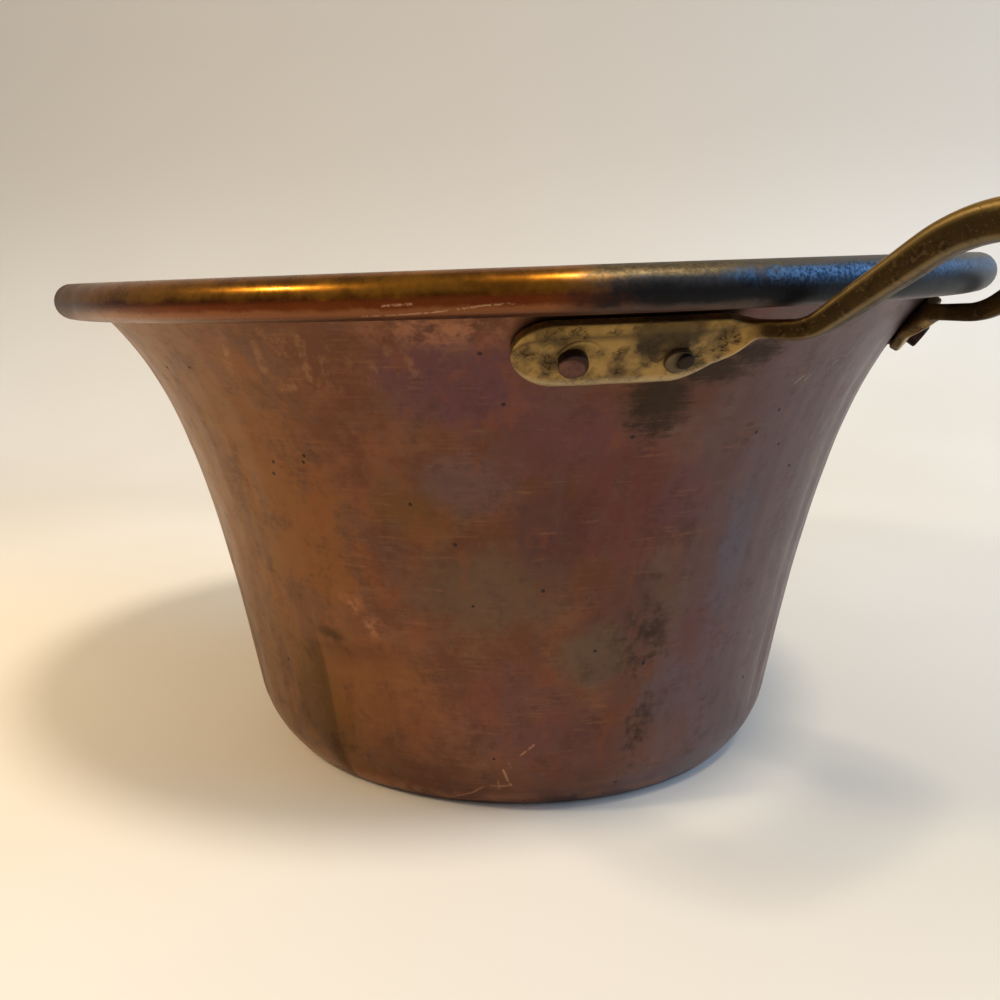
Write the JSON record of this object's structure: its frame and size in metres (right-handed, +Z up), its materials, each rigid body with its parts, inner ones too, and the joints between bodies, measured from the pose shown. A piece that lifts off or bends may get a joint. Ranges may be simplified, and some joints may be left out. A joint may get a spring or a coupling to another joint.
{
  "type": "polenta pot",
  "caption": "Flared copper cooking pot with a flat base, a rolled wired rim and one riveted brass loop handle.",
  "frame": {"origin": "middle of the flat underside of the base, which rests on the table", "axes": "+Z up the pot's axis, +X from the axis towards the handle, +Y completes the right hand"},
  "size_m": [0.3771, 0.3198, 0.1826],
  "materials": {
    "copper": "aged, satin",
    "iron": "dull",
    "brass": "aged, satin",
    "rivet_copper": "aged, satin"
  },
  "bodies": {
    "root": {"pot_body": "copper", "rim_wire": "iron", "loop_handle": "brass", "rivet_near_outer": "rivet_copper", "rivet_near_inner": "rivet_copper", "rivet_far_inner": "rivet_copper", "rivet_far_outer": "rivet_copper"}
  },
  "joints": []
}
